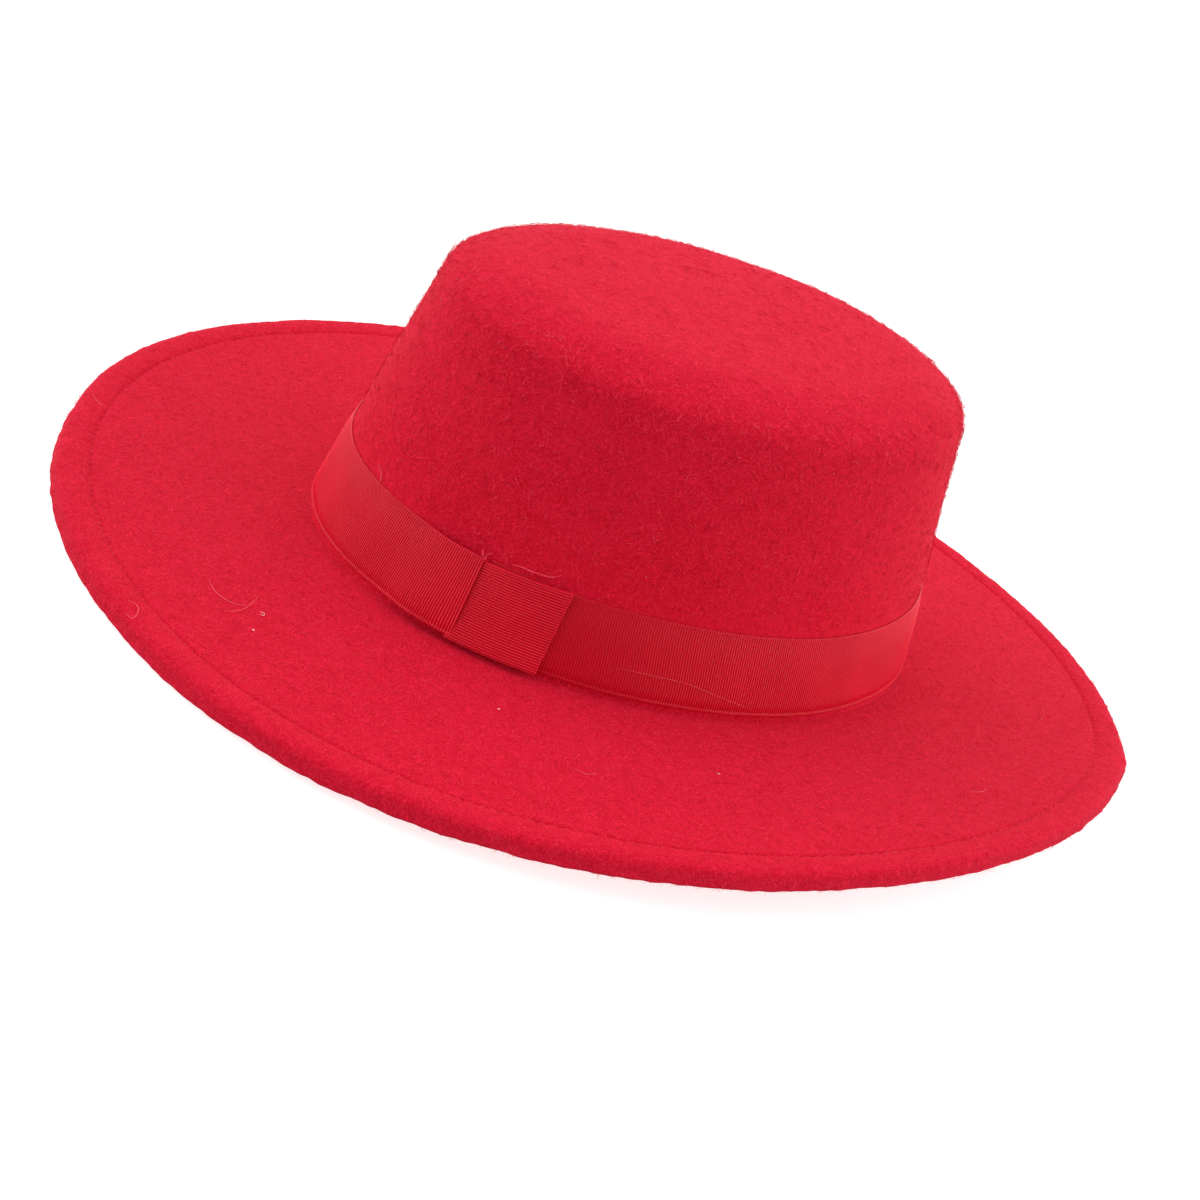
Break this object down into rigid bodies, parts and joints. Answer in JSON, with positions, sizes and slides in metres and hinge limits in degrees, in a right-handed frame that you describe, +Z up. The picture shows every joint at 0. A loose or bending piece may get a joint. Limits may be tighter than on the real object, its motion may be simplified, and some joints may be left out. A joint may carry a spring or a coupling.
{
  "type": "cordobes hat",
  "caption": "Flat-topped wide-brimmed felt hat with a ribbon round its tapering crown, worn on the head or resting on its brim.",
  "frame": {"origin": "on the surface the hat rests on, under the middle of the brim's outline", "axes": "+Z up, -Y to the front of the hat, +X to the wearer's left, where the ribbon's tab is"},
  "size_m": [0.3336, 0.3586, 0.1038],
  "materials": {
    "felt": "brushed wool felt, matt with a short nap",
    "ribbon": "grosgrain ribbon, soft sheen"
  },
  "bodies": {
    "root": {"felt_body": "felt", "ribbon_band": "ribbon", "ribbon_tab": "ribbon"}
  },
  "joints": []
}
